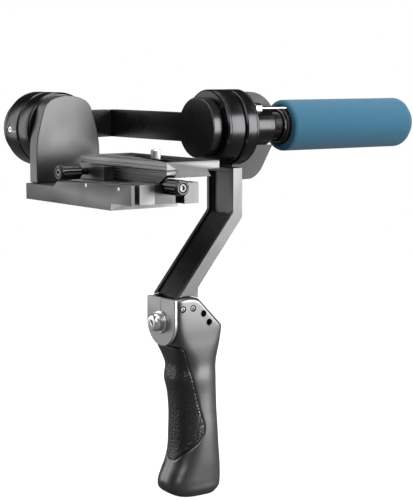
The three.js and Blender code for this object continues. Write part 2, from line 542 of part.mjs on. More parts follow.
SIDE_PLATE_SCREWS.forEach((x, i) => {
  add(`side_plate_screw_${i + 1}`, 'steel', capScrew('z', -1, BASE.bottom - 0.1, [x, 61.5, 0], 2.6, 1.5));
});

// Slider that carries the clamp: it moves fore and aft on the base.
const SIDE_SHANK_R = 1.2;
const screwBoreSide = bar('y', SIDE_SHANK_R + RUN, [-60, -46], [SIDE_KNOB.x, 0, SIDE_KNOB.z], FEW);
const slider = join(
  block([SLIDER.bed, SLIDER.rear], [BASE.near - 0.5, 26], [BASE.top + GAP, SLIDER.low]),
  block([-82.5, SLIDER.rear], [BASE.near, 26], [SLIDER.low - 0.1, SLIDER.top]),
  block([SLIDER.front, -90.2], [SLIDER.near, BASE.near - GAP], [-40.1, SLIDER.side]),
  block([-90.3, -75.5], [SLIDER.near + 0.4, BASE.near - GAP], [-40.1, SLIDER.side]),
  block([-75.6, -59.4], [SLIDER.near + 5, BASE.near - GAP], [-40.8, SLIDER.side]),
  block([-69.5, -59.4], [SLIDER.near, SLIDER.near + 5.1], [-40.8, SLIDER.side]),
);
// Dovetail of the camera plate, and the two jaws that hold it.
const TAIL = { top: [-77.5, -57], bottom: [-80.5, -54], floor: SLIDER.top + GAP, roof: -21 };
const jawTop = TAIL.roof - GAP;
const FLANK_GAP = 0.42;
const rearJaw = prism('y', [[TAIL.top[1] + FLANK_GAP, jawTop], [TAIL.bottom[1] + FLANK_GAP, SLIDER.top - 0.05],
  [SLIDER.rear, SLIDER.top - 0.05], [SLIDER.rear, jawTop]], [-30, 26]);
add('slider', 'black_anodised', cut(join(slider, rearJaw), screwBoreSide));
// The jaw: a block that the front knob pulls, and a long ridged bar that reaches to the near end.
const JAW = { front: -92, back: -82.8, ends: [-4, 24], barLow: -28.3, corner: -23.5 };
const knobBore = bar('x', 2.2, [JAW.front - 1, -88.4], [0, FRONT_KNOB.y, FRONT_KNOB.z], FEW);
const jawProfile = (front, low) => [[front, low], [JAW.back, low], [JAW.back, TAIL.floor],
  [TAIL.bottom[0] - FLANK_GAP, TAIL.floor], [TAIL.top[0] - FLANK_GAP, jawTop], [front, jawTop]];
const RIDGE_LEVELS = [-22.6, -24.7, -26.8];
const ridgedBar = cut(
  prism('y', jawProfile(CAMERA_PLATE.front, JAW.barLow), [CAMERA_PLATE.near, JAW.ends[0] + 1]),
  prism('x', [[CAMERA_PLATE.near - 1, JAW.corner], [CAMERA_PLATE.near, JAW.corner],
    [CAMERA_PLATE.near + 7.4, JAW.barLow], [CAMERA_PLATE.near + 7.4, -40], [CAMERA_PLATE.near - 1, -40]],
    [-95, -70]),
  bar('y', KNOB.r + GAP, [-75, -54.6], [SIDE_KNOB.x, 0, SIDE_KNOB.z]),
  ...RIDGE_LEVELS.map((z) =>
    block([-90, CAMERA_PLATE.front + 0.5], [-70, JAW.ends[0] + 2], [z - 0.25, z + 0.25])),
);
const jawBlock = prism('y', jawProfile(JAW.front, SLIDER.low + GAP), JAW.ends);
add('clamp_jaw', 'black_anodised', cut(join(jawBlock, ridgedBar), knobBore));

function knob(axis, sign, tip, [u, v], shankR) {
  const at = axis === 'x' ? [0, u, v] : [u, 0, v];
  const root = tip + sign * KNOB.length;
  const span = sign > 0 ? [tip, root] : [root, tip];
  let shape = bar(axis, KNOB.r, span, at, { facets: SMALL_ROUND, chamfer: 0.6 });
  const flutes = 8;
  for (let i = 0; i < flutes; i += 1) {
    const angle = ((i + 0.5) / flutes) * 2 * Math.PI;
    const du = (KNOB.r + 0.5) * Math.cos(angle);
    const dv = (KNOB.r + 0.5) * Math.sin(angle);
    const flute = axis === 'x' ? [0, u + du, v + dv] : [u + du, 0, v + dv];
    shape = shape.subtract(bar(axis, 1.1, [span[0] + 2.2, span[1] + 1], flute, { facets: 8 }));
  }
  const shank = bar(axis, shankR, [root - 0.5, root + 8], at, FEW);
  const socket = bar(axis, 2.9, [tip - 1, tip + 1.6], at, FEW);
  return cut(join(shape, shank), socket);
}
function knobInsert(axis, tip, [u, v]) {
  const at = axis === 'x' ? [0, u, v] : [u, 0, v];
  return cut(bar(axis, 2.7, [tip + 0.1, tip + 1.4], at, { facets: SMALL_ROUND, chamfer: 0.3 }),
    bar(axis, 1.2, [tip - 1, tip + 0.9], at, { facets: 6 }));
}
add('front_knob', 'black_anodised', knob('x', 1, FRONT_KNOB.x, [FRONT_KNOB.y, FRONT_KNOB.z], 2));
add('front_knob_insert', 'steel', knobInsert('x', FRONT_KNOB.x, [FRONT_KNOB.y, FRONT_KNOB.z]));
add('side_knob', 'black_anodised', knob('y', 1, SIDE_KNOB.y, [SIDE_KNOB.x, SIDE_KNOB.z], SIDE_SHANK_R));
add('side_knob_insert', 'steel', knobInsert('y', SIDE_KNOB.y, [SIDE_KNOB.x, SIDE_KNOB.z]));

// Camera plate: a slab with a dovetail below it, a long slot for the camera screw and a recess for its pad.
const slabFloor = CAMERA_PLATE.top - CAMERA_PLATE.thick;
const plateSide = [
  [CAMERA_PLATE.front, slabFloor], [CAMERA_PLATE.front, CAMERA_PLATE.top, 0.6],
  [CAMERA_PLATE.rear, CAMERA_PLATE.top, 0.6], [CAMERA_PLATE.rear, slabFloor], [TAIL.top[1], slabFloor],
  [TAIL.bottom[1], TAIL.floor], [TAIL.bottom[0], TAIL.floor], [TAIL.top[0], slabFloor],
];
const slotSpan = [-42, 10];
const screwSlot = join(
  block([CAMERA_SCREW_X - 3.4, CAMERA_SCREW_X + 3.4], slotSpan, [-40, 0]),
  block([CAMERA_SCREW_X - 6.6, CAMERA_SCREW_X + 6.6], [slotSpan[0] - 3, slotSpan[1] + 3], [-40, -21.4]),
);
const padRecess = block([-82.5, -75], [-50, 24], [CAMERA_PLATE.top - 0.9, 0]);
add('camera_plate', 'black_anodised', cut(prism('y', plateSide, [CAMERA_PLATE.near, CAMERA_PLATE.far]),
  screwSlot, padRecess));
add('plate_pad', 'pad_rubber',
  block([-82.2, -75.3], [-49.7, 23.7], [CAMERA_PLATE.top - 0.6, CAMERA_PLATE.top]));
const SCREW_Y = -16;
const screwAt = [CAMERA_SCREW_X, SCREW_Y, 0];
add('camera_screw', 'steel', cut(
  join(bar('z', 5.8, [-24.9, -21.7], screwAt, { facets: SMALL_ROUND, chamfer: 0.5 }),
    bar('z', 3.1, [-22, -11.5], screwAt, { facets: SMALL_ROUND, chamfer: 0.5 })),
  block([CAMERA_SCREW_X - 8, CAMERA_SCREW_X + 8], [SCREW_Y - 0.7, SCREW_Y + 0.7], [-28, -23.8])));

export default model;
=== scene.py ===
"""Looks of the gimbal stabilizer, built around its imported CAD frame."""

import json
import math

import bmesh
import bpy
import numpy as np
from mathutils import Matrix, Vector

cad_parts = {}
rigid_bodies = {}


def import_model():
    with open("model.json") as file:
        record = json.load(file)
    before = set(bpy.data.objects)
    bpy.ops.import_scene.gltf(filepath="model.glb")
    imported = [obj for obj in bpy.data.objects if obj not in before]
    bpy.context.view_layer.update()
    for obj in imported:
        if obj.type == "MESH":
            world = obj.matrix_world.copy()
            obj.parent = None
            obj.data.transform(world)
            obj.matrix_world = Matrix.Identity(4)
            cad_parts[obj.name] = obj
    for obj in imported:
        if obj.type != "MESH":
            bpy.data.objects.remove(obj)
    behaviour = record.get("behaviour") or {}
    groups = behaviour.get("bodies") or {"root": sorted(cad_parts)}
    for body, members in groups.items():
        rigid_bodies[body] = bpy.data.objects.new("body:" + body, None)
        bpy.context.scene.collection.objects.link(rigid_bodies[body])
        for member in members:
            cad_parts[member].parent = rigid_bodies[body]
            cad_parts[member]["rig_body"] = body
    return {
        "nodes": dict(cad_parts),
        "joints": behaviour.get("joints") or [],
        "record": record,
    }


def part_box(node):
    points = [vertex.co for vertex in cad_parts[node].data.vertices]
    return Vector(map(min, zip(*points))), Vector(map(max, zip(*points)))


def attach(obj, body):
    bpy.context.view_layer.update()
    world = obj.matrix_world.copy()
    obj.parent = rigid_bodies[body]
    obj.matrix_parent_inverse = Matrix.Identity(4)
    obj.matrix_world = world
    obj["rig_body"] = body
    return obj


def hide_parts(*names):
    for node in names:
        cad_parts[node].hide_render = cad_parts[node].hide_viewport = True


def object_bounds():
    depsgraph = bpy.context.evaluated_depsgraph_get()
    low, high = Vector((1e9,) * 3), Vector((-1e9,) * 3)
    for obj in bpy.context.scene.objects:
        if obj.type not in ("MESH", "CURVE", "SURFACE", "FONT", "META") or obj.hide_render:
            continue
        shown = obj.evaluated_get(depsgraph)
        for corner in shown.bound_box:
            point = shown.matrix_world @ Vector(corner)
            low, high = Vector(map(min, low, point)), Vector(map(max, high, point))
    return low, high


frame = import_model()
cad_box = [list(corner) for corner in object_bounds()]
JOINTS = {joint["name"]: joint for joint in frame["joints"]}
MM = 0.001

# The working origin is where the roll axis meets the groove of the roll motor, 7 mm behind its joint's point.
ORIGIN = Vector(JOINTS["roll_motor"]["pos_m"]) + Vector((7 * MM, 0, 0))
PIVOT = Vector(JOINTS["arm_angle"]["pos_m"])


def at(x, y, z):
    """A point given in millimetres from the working origin, in metres in the model's frame."""
    return ORIGIN + Vector((x, y, z)) * MM


# ---------------------------------------------------------------- camera and light
LENS_MM = 108
CAMERA_AZIMUTH, CAMERA_ELEVATION = -36.0, 7.0
camera_data = bpy.data.cameras.new("camera")
camera_data.lens = LENS_MM
camera_data.sensor_width = 36
camera_data.clip_start = 0.01
camera_data.clip_end = 50
camera = bpy.data.objects.new("camera", camera_data)
camera.location = at(-566.5, -760.7, 38.3)
camera.rotation_euler = (math.radians(90 - CAMERA_ELEVATION), 0, math.radians(CAMERA_AZIMUTH))
bpy.context.scene.collection.objects.link(camera)
bpy.context.scene.camera = camera
bpy.context.scene.view_settings.view_transform = "Standard"


def area_light(name, place, target, size, power):
    light = bpy.data.lights.new(name, "AREA")
    light.shape = "RECTANGLE"
    light.size, light.size_y = size
    light.energy = power
    lamp = bpy.data.objects.new(name, light)
    lamp.location = place
    aim = Vector(target) - Vector(place)
    lamp.rotation_euler = aim.to_track_quat("-Z", "Y").to_euler()
    bpy.context.scene.collection.objects.link(lamp)


# Name, place in mm from the working origin, width and height in m, and power in W.
LIGHTS = (
    ("key", (-750, -650, 600), (0.4, 0.9), 9),
    ("top", (50, 0, 900), (1.1, 0.45), 18),
    ("right_rim", (800, -300, 100), (0.25, 1.2), 2),
    ("left_rim", (-520, 650, 200), (0.4, 1.0), 5),
    ("side", (600, -800, 100), (0.5, 0.8), 26),
)
middle = at(0, 0, -70)
for light_name, light_place, light_size, watts in LIGHTS:
    area_light(light_name, at(*light_place), middle, light_size, watts)

# What reflections see: the room's strength at the horizon and from SOFT_TOP up, scaled from the far
# side to the near side.
ROOM_HORIZON, ROOM_ABOVE, SOFT_TOP = 0.2, 0.05, 0.5
NEAR_SIDE = (0.53, -0.85, 0)
FAR_FACTOR, NEAR_FACTOR = 0.3, 1.5


def studio_world():
    """A white backdrop for the camera. Reflections see a room lightest at the horizon, on the near side."""
    made = bpy.data.worlds.new("studio")
    made.use_nodes = True
    nodes, links = made.node_tree.nodes, made.node_tree.links
    direction = nodes.new("ShaderNodeTexCoord")
    parts = nodes.new("ShaderNodeSeparateXYZ")
    links.new(direction.outputs["Generated"], parts.inputs["Vector"])
    fall = nodes.new("ShaderNodeMapRange")
    fall.interpolation_type = "SMOOTHSTEP"
    for socket, value in (("From Min", 0.0), ("From Max", SOFT_TOP), ("To Min", ROOM_HORIZON),
                          ("To Max", ROOM_ABOVE)):
        fall.inputs[socket].default_value = value
    links.new(parts.outputs["Z"], fall.inputs["Value"])
    toward = nodes.new("ShaderNodeVectorMath")
    toward.operation = "DOT_PRODUCT"
    toward.inputs[1].default_value = NEAR_SIDE
    links.new(direction.outputs["Generated"], toward.inputs[0])
    side = nodes.new("ShaderNodeMapRange")
    side.interpolation_type = "SMOOTHSTEP"
    for socket, value in (("From Min", -0.1), ("From Max", 0.95), ("To Min", FAR_FACTOR),
                          ("To Max", NEAR_FACTOR)):
        side.inputs[socket].default_value = value
    links.new(toward.outputs["Value"], side.inputs["Value"])
    strength = nodes.new("ShaderNodeMath")
    strength.operation = "MULTIPLY"
    links.new(fall.outputs["Result"], strength.inputs[0])
    links.new(side.outputs["Result"], strength.inputs[1])
    room = nodes.new("ShaderNodeBackground")
    links.new(strength.outputs["Value"], room.inputs["Strength"])
    backdrop = nodes["Background"]
    for background in (room, backdrop):
        background.inputs["Color"].default_value = (1, 1, 1, 1)
    ray = nodes.new("ShaderNodeLightPath")
    either = nodes.new("ShaderNodeMixShader")
    links.new(ray.outputs["Is Camera Ray"], either.inputs["Fac"])
    links.new(room.outputs["Background"], either.inputs[1])
    links.new(backdrop.outputs["Background"], either.inputs[2])
    links.new(either.outputs["Shader"], nodes["World Output"].inputs["Surface"])
    return made


bpy.context.scene.world = studio_world()


# ---------------------------------------------------------------- materials
def finish(name, colour, metallic, roughness, *, variation=0.12, variation_scale=70, spread=0.08,
           grain=2600, bump=0.08, depth=0.05, stretch=(1, 1, 1), edge_highlight=None, cells=0, sheen=0,
           specular=0.5):
    """A procedural finish with varied colour and roughness, a grain, and convex edges that can carry a
    painted highlight, a lighter colour standing in for light caught on them.
    """
    made = bpy.data.materials.new(name)
    made.use_nodes = True
    nodes, links = made.node_tree.nodes, made.node_tree.links
    shader = nodes["Principled BSDF"]
    shader.inputs["Metallic"].default_value = metallic
    shader.inputs["Specular IOR Level"].default_value = specular
    shader.inputs["Sheen Weight"].default_value = sheen
    place = nodes.new("ShaderNodeTexCoord")
    mapping = nodes.new("ShaderNodeMapping")
    mapping.inputs["Scale"].default_value = stretch
    links.new(place.outputs["Object"], mapping.inputs["Vector"])

    patches = nodes.new("ShaderNodeTexNoise")
    patches.inputs["Scale"].default_value = variation_scale
    patches.inputs["Detail"].default_value = 6
    links.new(mapping.outputs["Vector"], patches.inputs["Vector"])
    tint = nodes.new("ShaderNodeMix")
    tint.data_type = "RGBA"
    tint.inputs["A"].default_value = [max(c * (1 - variation), 0) for c in colour] + [1]
    tint.inputs["B"].default_value = [min(c * (1 + variation), 1) for c in colour] + [1]
    links.new(patches.outputs["Fac"], tint.inputs["Factor"])
    result = tint.outputs["Result"]
    # Painted highlight: a pointiness mask mixes convex edges towards a lighter colour, standing in for light
    # caught on the bevels.
    if edge_highlight:
        geometry = nodes.new("ShaderNodeNewGeometry")
        edge = nodes.new("ShaderNodeMapRange")
        edge.inputs["From Min"].default_value = 0.54
        edge.inputs["From Max"].default_value = 0.66
        links.new(geometry.outputs["Pointiness"], edge.inputs["Value"])
        highlighted_edge = nodes.new("ShaderNodeMix")
        highlighted_edge.data_type = "RGBA"
        highlighted_edge.inputs["B"].default_value = list(edge_highlight) + [1]
        links.new(edge.outputs["Result"], highlighted_edge.inputs["Factor"])
        links.new(result, highlighted_edge.inputs["A"])
        result = highlighted_edge.outputs["Result"]
    links.new(result, shader.inputs["Base Color"])

    dull = nodes.new("ShaderNodeMapRange")
    dull.inputs["To Min"].default_value = max(roughness - spread, 0.03)
    dull.inputs["To Max"].default_value = min(roughness + spread, 1)
    links.new(patches.outputs["Fac"], dull.inputs["Value"])
    links.new(dull.outputs["Result"], shader.inputs["Roughness"])

    if cells:
        texture = nodes.new("ShaderNodeTexVoronoi")
        texture.inputs["Scale"].default_value = cells
        height = texture.outputs["Distance"]
    else:
        texture = nodes.new("ShaderNodeTexNoise")
        texture.inputs["Scale"].default_value = grain
        texture.inputs["Detail"].default_value = 4
        height = texture.outputs["Fac"]
    links.new(mapping.outputs["Vector"], texture.inputs["Vector"])
    relief = nodes.new("ShaderNodeBump")
    relief.inputs["Strength"].default_value = bump
    relief.inputs["Distance"].default_value = depth * MM
    links.new(height, relief.inputs["Height"])
    links.new(relief.outputs["Normal"], shader.inputs["Normal"])
    return made


# The lighter edge colour given to a look is a painted highlight on its convex edges.
LOOKS = {
    "black_anodised": finish("black_anodised", (0.02, 0.02, 0.021), 0.8, 0.28, bump=0.12,
                             edge_highlight=(0.09, 0.09, 0.093)),
    "satin_grey": finish("satin_grey", (0.03, 0.03, 0.031), 0.85, 0.46, bump=0.3, grain=1700, variation=0.08,
                         edge_highlight=(0.12, 0.12, 0.122)),
    "light_satin": finish("light_satin", (0.04, 0.04, 0.041), 0.85, 0.42, bump=0.25, grain=1700,
                          variation=0.07,
                          edge_highlight=(0.14, 0.14, 0.142)),
    "grey_anodised": finish("grey_anodised", (0.042, 0.042, 0.043), 0.85, 0.38, bump=0.22, grain=1800,
                            variation=0.08,
                            edge_highlight=(0.14, 0.14, 0.142)),
    "sanded_grey": finish("sanded_grey", (0.3, 0.3, 0.305), 0.85, 0.45, bump=0.3, grain=2000, variation=0.07,
                          edge_highlight=(0.45, 0.45, 0.455)),
    "turned_black": finish("turned_black", (0.018, 0.018, 0.019), 0.9, 0.25, bump=0.15, grain=900,
                           stretch=(6, 1, 1), edge_highlight=(0.1, 0.1, 0.103)),
    "turned_black_y": finish("turned_black_y", (0.018, 0.018, 0.019), 0.9, 0.25, bump=0.15, grain=900,
                             stretch=(1, 6, 1), edge_highlight=(0.1, 0.1, 0.103)),
    "matte_black": finish("matte_black", (0.01, 0.01, 0.0105), 0, 0.45, bump=0.25, grain=1500, specular=0.2),
    "gloss_inlay": finish("gloss_inlay", (0.006, 0.006, 0.007), 0, 0.27, variation=0.1, spread=0.04,
                          bump=0.04,
                          specular=0.2),
    "plate_black": finish("plate_black", (0.01, 0.01, 0.0105), 0, 0.3, bump=0.12, edge_highlight=(0.2, 0.2, 0.203),
                          specular=0.2),
    "grip_plastic": finish("grip_plastic", (0.005, 0.005, 0.0053), 0, 0.36, bump=0.4, grain=1400, depth=0.06,
                           variation=0.1, specular=1),
    "grip_rubber": finish("grip_rubber", (0.003, 0.003, 0.0032), 0, 0.36, cells=800, bump=0.8, depth=0.35,
                          spread=0.1),
    "foam": finish("foam", (0.014, 0.06, 0.098), 0, 0.85, variation=0.14, variation_scale=500, cells=1300,
                   bump=0.55, depth=0.12, sheen=0.08, specular=0.15),
    "steel": finish("steel", (0.56, 0.57, 0.58), 1, 0.32, bump=0.1, grain=1600, stretch=(1, 1, 3),
                    variation=0.06),
    "dark_steel": finish("dark_steel", (0.06, 0.059, 0.057), 1, 0.3, bump=0.1, grain=1600,
                         edge_highlight=(0.6, 0.6, 0.61)),
    "copper": finish("copper", (0.55, 0.22, 0.1), 0.9, 0.38, grain=900, bump=0.4),
    "magnet": finish("magnet", (0.42, 0.42, 0.44), 1, 0.3),
    "circuit": finish("circuit", (0.02, 0.14, 0.06), 0, 0.45, cells=500, bump=0.3),
    "cell": finish("cell", (0.06, 0.15, 0.3), 0, 0.35),
    "pad_rubber": finish("pad_rubber", (0.02, 0.02, 0.021), 0, 0.75, cells=1400, bump=0.5, depth=0.1),
    "bright_pin": finish("bright_pin", (0.8, 0.8, 0.79), 0, 0.5, variation=0.03),
}


def give(piece, look):
    piece.data.materials.clear()
    piece.data.materials.append(LOOKS[look])


SLOT_OF = {part["node"]: part["material_slot"] for part in frame["record"]["subparts"]}
for node_name, node in frame["nodes"].items():
    give(node, SLOT_OF[node_name])


# ---------------------------------------------------------------- mesh helpers
def linked(name, mesh):
    piece = bpy.data.objects.new(name, mesh)
    bpy.context.scene.collection.objects.link(piece)
    return piece


def smooth(piece, degrees=32):
    piece.data.shade_smooth()
    piece.data.set_sharp_from_angle(angle=math.radians(degrees))


def applied(piece):
    """The piece with its modifiers turned into its mesh."""
    bpy.context.view_layer.update()
    graph = bpy.context.evaluated_depsgraph_get()
    mesh = bpy.data.meshes.new_from_object(piece.evaluated_get(graph))
    piece.modifiers.clear()
    piece.data = mesh
    return piece


def bevelled(piece, width, segments=3, degrees=34):
    """Eases a piece's edges and keeps its flat faces flat in the shading."""
    smooth(piece, degrees)
    bevel = piece.modifiers.new("edges", "BEVEL")
    bevel.width = width * MM
    bevel.segments = segments
    bevel.limit_method = "ANGLE"
    bevel.angle_limit = math.radians(degrees)
    applied(piece)
    for edge in piece.data.edges:
        edge.use_edge_sharp = False
    weighted = piece.modifiers.new("weighted", "WEIGHTED_NORMAL")
    weighted.weight = 100
    weighted.mode = "FACE_AREA"
    return applied(piece)


def cut(piece, *tools, operation="DIFFERENCE"):
    """Cuts a piece with tools that don't touch each other, all at once."""
    tool = merged(tools)
    boolean = piece.modifiers.new("cut", "BOOLEAN")
    boolean.operation = operation
    boolean.solver = "EXACT"
    boolean.object = tool
    applied(piece)
    bpy.data.objects.remove(tool)
    return piece


def merged(tools):
    """Several tools as one object."""
    if len(tools) == 1:
        return tools[0]
    bm = bmesh.new()
    for tool in tools:
        bm.from_mesh(tool.data)
        bpy.data.objects.remove(tool)
    mesh = bpy.data.meshes.new("tools")
    bm.to_mesh(mesh)
    bm.free()
    return linked("tools", mesh)


def kept_side(piece, point, direction):
    """The part of a closed piece that lies behind a plane, with the cut face filled."""
    bm = bmesh.new()
    bm.from_mesh(piece.data)
    everything = bm.verts[:] + bm.edges[:] + bm.faces[:]
    sliced = bmesh.ops.bisect_plane(bm, geom=everything, plane_co=point, plane_no=direction, clear_outer=True)
    border = [item for item in sliced["geom_cut"] if isinstance(item, bmesh.types.BMEdge)]
    bmesh.ops.triangle_fill(bm, use_beauty=True, edges=border)
    bmesh.ops.recalc_face_normals(bm, faces=bm.faces)
    bm.to_mesh(piece.data)
    bm.free()
    return piece


def copy_of(piece, name):
    return linked(name, piece.data.copy())


def installed(piece, node, look=None):
    """Puts a piece in place of a CAD node: same body, and the look of the node's slot unless another look is
    given.
    """
    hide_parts(node)
    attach(piece, frame["nodes"][node]["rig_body"])
    give(piece, look or SLOT_OF[node])
    return piece


def eased(points, radius):
    """The same line with its inner corners rounded."""
    line = [points[0]]
    for before, corner, after in zip(points, points[1:-1], points[2:]):
        before, corner, after = Vector(before), Vector(corner), Vector(after)
        reach = min(radius, (corner - before).length * 0.45, (after - corner).length * 0.45)
        start = corner + (before - corner).normalized() * reach
        end = corner + (after - corner).normalized() * reach
        for t in (0, 0.33, 0.67, 1):
            line.append(tuple(start * (1 - t) ** 2 + corner * 2 * t * (1 - t) + end * t ** 2))
    line.append(points[-1])
    return line


def lathe(name, axis, profile, centre, sides=112, ease=0.35, section=None):
    """A turned piece. The profile holds (radius, distance along the axis) in mm from the centre.
    section(angle, radius, along) may change the radius, for a knurl or flutes."""
    line = eased([tuple(map(float, point)) for point in profile], ease)
    first, second = {"x": (1, 2), "y": (2, 0), "z": (0, 1)}[axis]
    along_axis = {"x": 0, "y": 1, "z": 2}[axis]
    bm = bmesh.new()
    rings = []
    for radius, along in line:
        if radius < 1e-6:
            place = list(centre)
            place[along_axis] += along * MM
            rings.append([bm.verts.new(place)])
            continue
        ring = []
        for i in range(sides):
            angle = 2 * math.pi * i / sides
            r = section(angle, radius, along) if section else radius
            place = list(centre)
            place[along_axis] += along * MM
            place[first] += r * MM * math.cos(angle)
            place[second] += r * MM * math.sin(angle)
            ring.append(bm.verts.new(place))
        rings.append(ring)
    closed = rings[0][0].co == rings[-1][0].co and len(rings[0]) > 1
    for low, high in zip(rings, rings[1:]):
        for i in range(sides):
            j = (i + 1) % sides
            corners = [low[i % len(low)], low[j % len(low)], high[j % len(high)], high[i % len(high)]]
            unique = list(dict.fromkeys(corners))
            if len(unique) > 2:
                bm.faces.new(unique)
    if closed:
        bmesh.ops.remove_doubles(bm, verts=bm.verts, dist=1e-7)
    bmesh.ops.recalc_face_normals(bm, faces=bm.faces)
    mesh = bpy.data.meshes.new(name)
    bm.to_mesh(mesh)
    bm.free()
    piece = linked(name, mesh)
    smooth(piece)
    return piece


def prism(name, axis, outline, span, bevel=0):
    """An outline in mm, extruded along an axis between two distances from the working origin."""
    order = {"y": lambda u, v, w: (u, w, v), "x": lambda u, v, w: (w, u, v),
             "z": lambda u, v, w: (u, v, w)}[axis]
    bm = bmesh.new()
    ends = [[bm.verts.new(at(*order(u, v, w))) for u, v in outline] for w in span]
    count = len(outline)
    bm.faces.new(ends[0])
    bm.faces.new(ends[1])
    for i in range(count):
        j = (i + 1) % count
        bm.faces.new((ends[0][i], ends[0][j], ends[1][j], ends[1][i]))
    bmesh.ops.recalc_face_normals(bm, faces=bm.faces)
    mesh = bpy.data.meshes.new(name)
    bm.to_mesh(mesh)
    bm.free()
    piece = linked(name, mesh)
    return bevelled(piece, bevel) if bevel else piece


def rounded_outline(corners, steps=6):
    """Corners (u, v, radius) in mm, turned into points with the corners rounded."""
    points = []
    for i, (u, v, radius) in enumerate(corners):
        here = Vector((u, v))
        if not radius:
            points.append((u, v))
            continue
        before, after = Vector(corners[i - 1][:2]), Vector(corners[(i + 1) % len(corners)][:2])
        start = here + (before - here).normalized() * radius
        end = here + (after - here).normalized() * radius
        for k in range(steps + 1):
            t = k / steps
            points.append(tuple(start * (1 - t) ** 2 + here * 2 * t * (1 - t) + end * t ** 2))
    return points


def rod(axis, radius, span, centre, sides=48):
    """A plain cutter, used to bore holes."""
    return lathe("cutter", axis, [(0, span[0]), (radius, span[0]), (radius, span[1]), (0, span[1])], centre,
                 sides=sides, ease=0)


def refined(node, bevel=0.3, look=None, segments=2):
    """A CAD node's own shape with its facets merged and its edges eased."""
    piece = copy_of(frame["nodes"][node], f"{node}_fine")
    bm = bmesh.new()
    bm.from_mesh(piece.data)
    bmesh.ops.remove_doubles(bm, verts=bm.verts, dist=2e-6)
    bmesh.ops.dissolve_limit(bm, angle_limit=math.radians(0.6), verts=bm.verts, edges=bm.edges)
    bm.to_mesh(piece.data)
    bm.free()
    bevelled(piece, bevel, segments)
    return installed(piece, node, look)


def size_of(node, axis):
    """Front and rear along an axis in mm from the node's centre, its outer radius in mm, and its centre."""
    low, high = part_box(node)
    index = "xyz".index(axis)
    centre = (low + high) / 2
    other = (index + 1) % 3
    return (low[index] - centre[index]) / MM, (high[index] - centre[index]) / MM, \
        (high[other] - low[other]) / 2 / MM, centre


# ---------------------------------------------------------------- pistol grip
# Level outlines of the grip in mm: height, front, rear, half width and the power of the super-ellipse.
GRIP_LEVELS = np.array([
    (-103, -46.5, -11.5, 15.2, 14), (-124, -46.5, -11.5, 15.2, 10), (-131, -45.4, -11.7, 15, 7),
    (-136, -44.6, -11.8, 14.9, 5), (-141, -43, -11.8, 14.7, 3.6), (-147, -41.4, -11.7, 14.4, 2.8),
    (-157, -42.4, -11.3, 14.6, 2.6),
    (-165, -40.6, -10.9, 14.3, 2.5), (-177, -39.4, -10.4, 14.5, 2.4), (-190, -39.4, -9.6, 15, 2.4),
    (-202, -40.2, -8.8, 15.2, 2.4), (-210, -42.4, -8.1, 15.2, 2.5), (-217, -45.8, -7.7, 15.1, 2.6),
    (-223, -47.6, -8, 15, 2.8), (-228, -46, -9.4, 14.6, 2.9), (-231.2, -41, -13, 12.6, 3),
])
HEAD_ARC_R = 24.3
HEAD_CHAMFER = [(-11.5, -123.4, 2), (-9.5, -136, 0), (-4, -236, 0), (-52, -236, 0)]
RUBBER_SIDE = [
    (-60, -133.5, 0), (-41.5, -135.2, 3), (-37.4, -144, 5), (-29.5, -174.4, 9), (-25, -190, 5),
    (-30, -196.5, 2.5),
    (-38.4, -203, 4), (-41.5, -208.5, 0), (-60, -213, 0),
]


def about_pivot(radius, degrees):
    """A point in mm on a circle about the arm's pivot, at an angle from straight up, rearward positive."""
    angle = math.radians(degrees)
    offset = (PIVOT - ORIGIN) / MM
    return offset.x + radius * math.sin(angle), offset.z + radius * math.cos(angle)


HEAD_SIDE = [(*about_pivot(HEAD_ARC_R, angle), 0) for angle in range(-32, 22)] + HEAD_CHAMFER


def level_values(height):
    """The level outline at a height, on a smooth curve through the levels."""
    heights = -GRIP_LEVELS[:, 0]
    slopes = np.gradient(GRIP_LEVELS, heights, axis=0)
    i = int(np.clip(np.searchsorted(heights, -height) - 1, 0, len(heights) - 2))
    step = heights[i + 1] - heights[i]
    t = (-height - heights[i]) / step
    a, b = GRIP_LEVELS[i], GRIP_LEVELS[i + 1]
    return ((2 * t ** 3 - 3 * t ** 2 + 1) * a + (t ** 3 - 2 * t ** 2 + t) * step * slopes[i]
            + (3 * t ** 2 - 2 * t ** 3) * b + (t ** 3 - t ** 2) * step * slopes[i + 1])


def grip_form(name, inset=0.0, sides=88, levels=110):
    bm = bmesh.new()
    rings = []
    top, bottom = GRIP_LEVELS[0, 0], GRIP_LEVELS[-1, 0]
    for k in range(levels + 1):
        height = top + (bottom - top) * k / levels
        _, front, rear, half, power = level_values(height)
        ring = []
        for i in range(sides):
            angle = 2 * math.pi * i / sides
            c, s = math.cos(angle), math.sin(angle)
            u = math.copysign(abs(c) ** (2 / power), c)
            v = math.copysign(abs(s) ** (2 / power), s)
            x = (front + rear) / 2 + u * ((rear - front) / 2 - inset)
            ring.append(bm.verts.new(at(x, v * (half - inset), height)))
        rings.append(ring)
    for low, high in zip(rings, rings[1:]):
        for i in range(sides):
            j = (i + 1) % sides
            bm.faces.new((low[i], low[j], high[j], high[i]))
    bm.faces.new(rings[0])
    bm.faces.new(rings[-1])
    bmesh.ops.recalc_face_normals(bm, faces=bm.faces)
    mesh = bpy.data.meshes.new(name)
    bm.to_mesh(mesh)
    bm.free()
    return linked(name, mesh)


def moulded(piece, voxel, rounds=3):
    """Rounds a moulded piece's edges: even cells, then a light smoothing."""
    remesh = piece.modifiers.new("cells", "REMESH")
    remesh.mode = "VOXEL"
    remesh.voxel_size = voxel * MM
    ease = piece.modifiers.new("ease", "SMOOTH")
    ease.factor = 0.5
    ease.iterations = rounds
    applied(piece)
    piece.data.shade_smooth()
    return piece


RUBBER_DEEP = 1.4
GROOVE = 0.35
rubber_outline = rounded_outline(RUBBER_SIDE)


def grown(outline, amount, middle):
    """The outline with its points moved away from a middle point."""
    middle_u, middle_v = middle
    result = []
    for u, v in outline:
        away = math.hypot(u - middle_u, v - middle_v)
        result.append((u + amount * (u - middle_u) / away, v + amount * (v - middle_v) / away))
    return result


